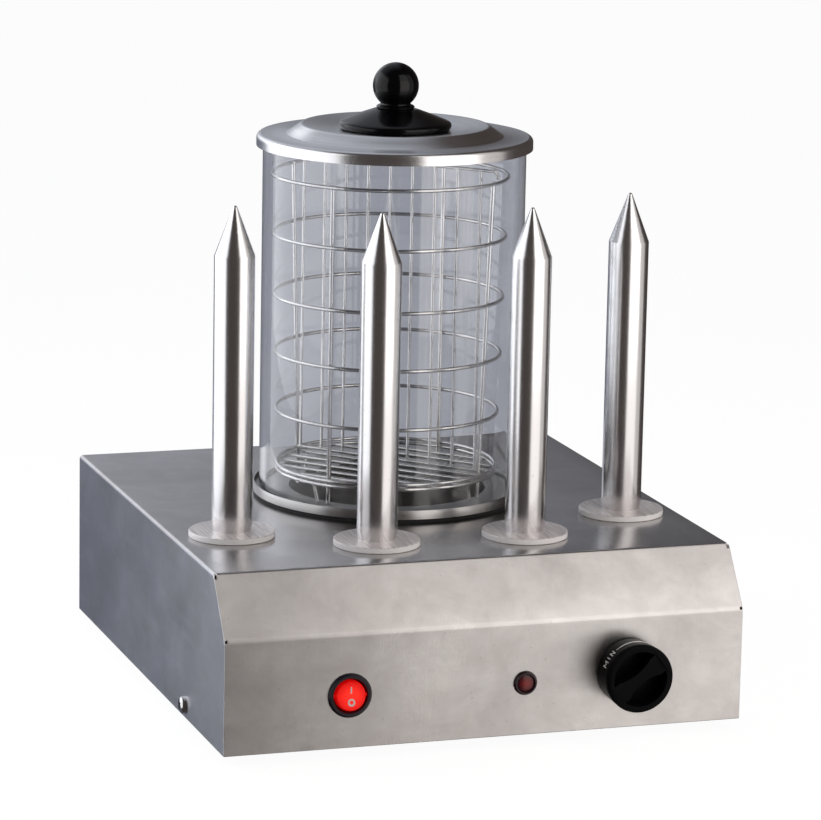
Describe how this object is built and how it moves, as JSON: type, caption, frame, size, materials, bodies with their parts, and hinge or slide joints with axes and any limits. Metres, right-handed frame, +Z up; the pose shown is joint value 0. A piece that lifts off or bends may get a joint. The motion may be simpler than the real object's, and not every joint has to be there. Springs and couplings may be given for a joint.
{
  "type": "hot dog steamer with toasting spikes",
  "caption": "Stainless countertop hot dog steamer with a glass cylinder, lift-out wire basket, domed-knob lid and heated bun spikes.",
  "frame": {"origin": "centre of the whole object's footprint, on the surface that the feet stand on", "axes": "+Z up, the control panel faces -Y, +X to the right of someone facing the panel"},
  "size_m": [0.3564, 0.4062, 0.4157],
  "materials": {
    "brushed_steel": "brushed",
    "polished_steel": "polished",
    "zinc_steel": "satin",
    "turned_aluminium": "satin",
    "rubber_black": "matte",
    "black_plastic": "satin",
    "black_gloss": "gloss",
    "bezel_plastic": "satin",
    "red_key": "gloss",
    "lamp_red": "gloss",
    "white_print": "satin",
    "clear_glass": "clear",
    "ceramic": "matte",
    "copper": "satin",
    "element_steel": "heat-darkened"
  },
  "bodies": {
    "root": {"housing": "brushed_steel", "rear_panel": "brushed_steel", "base_tray": "brushed_steel", "feet": "rubber_black", "foot_screws": "zinc_steel", "side_screws": "polished_steel", "rear_screws": "polished_steel", "water_pan": "polished_steel", "pan_gasket": "rubber_black", "heating_ring": "element_steel", "element_clip": "zinc_steel", "thermal_cutout": "ceramic", "thermostat_body": "ceramic", "capillary": "copper", "terminal_block": "ceramic", "mains_inlet": "black_plastic", "inlet_screws": "zinc_steel", "spike_disc_1": "turned_aluminium", "spike_disc_2": "turned_aluminium", "spike_disc_3": "turned_aluminium", "spike_disc_4": "turned_aluminium", "spike_1": "turned_aluminium", "spike_2": "turned_aluminium", "spike_3": "turned_aluminium", "spike_4": "turned_aluminium", "spike_heaters": "element_steel", "spike_nuts": "zinc_steel", "switch_frame": "bezel_plastic", "switch_tabs": "copper", "lamp_bezel": "bezel_plastic", "lamp_lens": "lamp_red"},
    "rocker": {"rocker": "red_key", "rocker_marks": "white_print"},
    "knob": {"control_knob": "black_plastic", "knob_marks": "white_print", "knob_shaft": "zinc_steel"},
    "glass": {"glass_cylinder": "clear_glass"},
    "basket": {"basket_ring_1": "polished_steel", "basket_ring_2": "polished_steel", "basket_ring_3": "polished_steel", "basket_ring_4": "polished_steel", "basket_ring_5": "polished_steel", "basket_ring_6": "polished_steel", "basket_ring_7": "polished_steel", "basket_uprights": "polished_steel", "basket_floor": "polished_steel"},
    "divider": {"divider": "polished_steel"},
    "lid": {"lid": "polished_steel", "lid_rim": "polished_steel", "lid_rosette": "black_gloss", "lid_ball": "black_gloss", "lid_screw": "zinc_steel"}
  },
  "joints": [
    {"name": "rocker_tilt", "type": "hinge", "parent": "root", "child": "rocker", "pos_m": [-0.0924, -0.1795, 0.0424], "axis": [1, 0, 0], "range_deg": [0, 12]},
    {"name": "knob_turn", "type": "hinge", "parent": "root", "child": "knob", "pos_m": [0.096, -0.1801, 0.046], "axis": [0, 1, 0], "range_deg": [0, 270]},
    {"name": "glass_lift", "type": "slide", "parent": "root", "child": "glass", "axis": [0, 0, 1], "range_m": [0, 0.22]},
    {"name": "basket_lift", "type": "slide", "parent": "glass", "child": "basket", "axis": [0, 0, 1], "range_m": [0, 0.25]},
    {"name": "divider_lift", "type": "slide", "parent": "basket", "child": "divider", "axis": [0, 0, 1], "range_m": [0, 0.235]},
    {"name": "lid_lift", "type": "slide", "parent": "divider", "child": "lid", "axis": [0, 0, 1], "range_m": [0, 0.12]}
  ]
}
